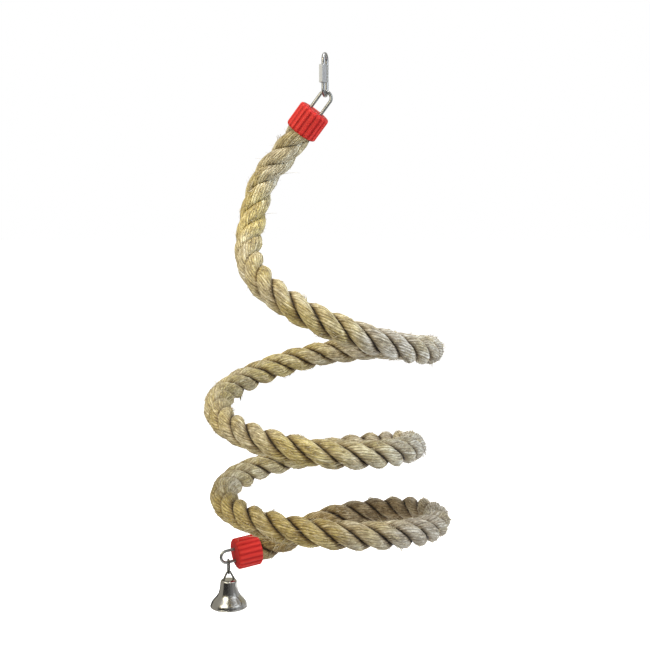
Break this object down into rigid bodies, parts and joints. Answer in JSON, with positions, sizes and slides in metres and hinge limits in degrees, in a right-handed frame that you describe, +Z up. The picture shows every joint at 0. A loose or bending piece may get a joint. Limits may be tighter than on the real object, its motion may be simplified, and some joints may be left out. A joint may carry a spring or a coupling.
{
  "type": "hanging rope perch",
  "caption": "Spiral perch of laid rope on a wire core, with a ribbed cap and a wire eye at each end, hung from a quick link and carrying a small bell.",
  "frame": {"origin": "bearing point inside the top of the quick link, where it hangs on a hook or bar", "axes": "+Z up, along the length of the hanging perch; +X to the right and +Y to the back as the reference picture is taken"},
  "size_m": [0.228, 0.223, 0.5265],
  "materials": {
    "plated_steel": "bright zinc plating",
    "eye_wire": "bright zinc plating",
    "red_plastic": "moulded, with fluted sides",
    "resin": "set adhesive",
    "sisal": "natural hard fibre, three strands laid right-handed",
    "core_steel": "plain soft wire",
    "bail_wire": "dull dark plating",
    "nickel": "nickel plating",
    "clapper_steel": "plain steel"
  },
  "bodies": {
    "quick_link": {"quick_link_body": "plated_steel"},
    "link_nut": {"quick_link_nut": "plated_steel"},
    "perch": {"upper_eye": "eye_wire", "upper_cap": "red_plastic", "upper_plug": "resin", "rope_strand_1": "sisal", "rope_strand_2": "sisal", "rope_strand_3": "sisal", "core_wire": "core_steel", "lower_plug": "resin", "lower_cap": "red_plastic", "lower_eye": "eye_wire"},
    "bell_link": {"bell_link": "bail_wire"},
    "bell": {"bell_bail": "bail_wire", "bell_shell": "nickel"},
    "clapper": {"clapper": "clapper_steel"}
  },
  "joints": [
    {"name": "nut_travel", "type": "slide", "parent": "quick_link", "child": "link_nut", "axis": [0, 0, -1], "range_m": [0, 0.0044]},
    {"name": "perch_swing", "type": "hinge", "parent": "quick_link", "child": "perch", "pos_m": [0, 0, -0.0371], "axis": [0.2914, 0.9566, 0], "range_deg": [-45, 45]},
    {"name": "ring_swing", "type": "hinge", "parent": "perch", "child": "bell_link", "pos_m": [-0.09385, 0.032, -0.47855], "axis": [-0.9145, -0.4046, 0], "range_deg": [-45, 45]},
    {"name": "bell_swing", "type": "hinge", "parent": "bell_link", "child": "bell", "pos_m": [-0.09385, 0.032, -0.48965], "axis": [0.4046, -0.9145, 0], "range_deg": [-30, 30]},
    {"name": "clapper_swing", "type": "hinge", "parent": "bell", "child": "clapper", "pos_m": [-0.09385, 0.032, -0.49934], "axis": [-0.9145, -0.4046, 0], "range_deg": [-25, 25]}
  ]
}
